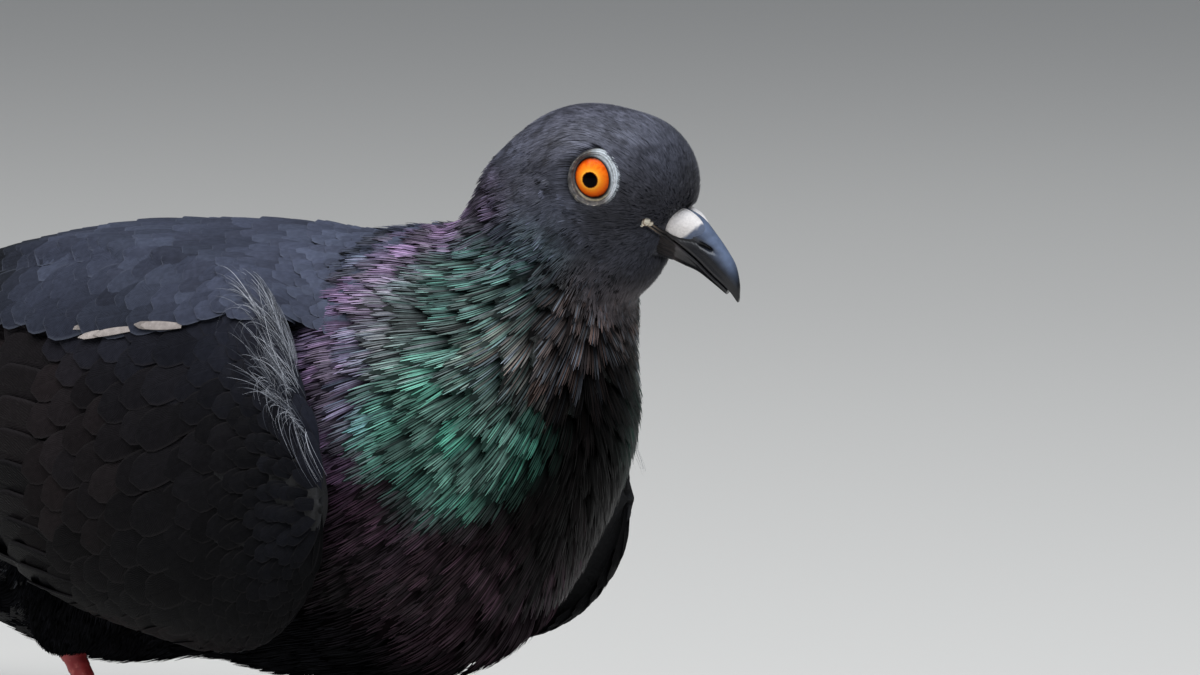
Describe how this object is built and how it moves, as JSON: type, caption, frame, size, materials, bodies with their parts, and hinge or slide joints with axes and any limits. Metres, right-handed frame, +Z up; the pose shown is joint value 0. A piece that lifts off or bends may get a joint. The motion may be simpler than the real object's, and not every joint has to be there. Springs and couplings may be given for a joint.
{
  "type": "pigeon figure",
  "caption": "Life-size still model of a dark feral pigeon standing in mid step, neck drawn in and head turned a little to its left.",
  "frame": {"origin": "middle of the bird's bounds in plan, on the floor that its soles stand on", "axes": "+X forwards, towards the breast and bill; +Y to the bird's left; +Z up"},
  "size_m": [0.2818, 0.093, 0.1433],
  "materials": {
    "plumage_head": "soft, close-lying",
    "plumage_neck": "iridescent sheen",
    "plumage_body": "soft, close-lying",
    "flight_feathers": "smooth vanes",
    "cere": "powdery",
    "bill": "satin horn",
    "eye": "wet gloss",
    "foot_skin": "scaly",
    "claw": "satin horn"
  },
  "bodies": {
    "root": {"head": "plumage_head", "cere": "cere", "bill_upper": "bill", "bill_lower": "bill", "eye_right": "eye", "eye_left": "eye", "wing_right": "flight_feathers", "wing_left": "flight_feathers", "neck": "plumage_neck", "torso": "plumage_body", "tail": "flight_feathers", "thigh_right": "plumage_body", "foot_right": "foot_skin", "claw_right_inner": "claw", "claw_right_middle": "claw", "claw_right_outer": "claw", "claw_right_hind": "claw", "thigh_left": "plumage_body", "foot_left": "foot_skin", "claw_left_inner": "claw", "claw_left_middle": "claw", "claw_left_outer": "claw", "claw_left_hind": "claw"}
  },
  "joints": []
}
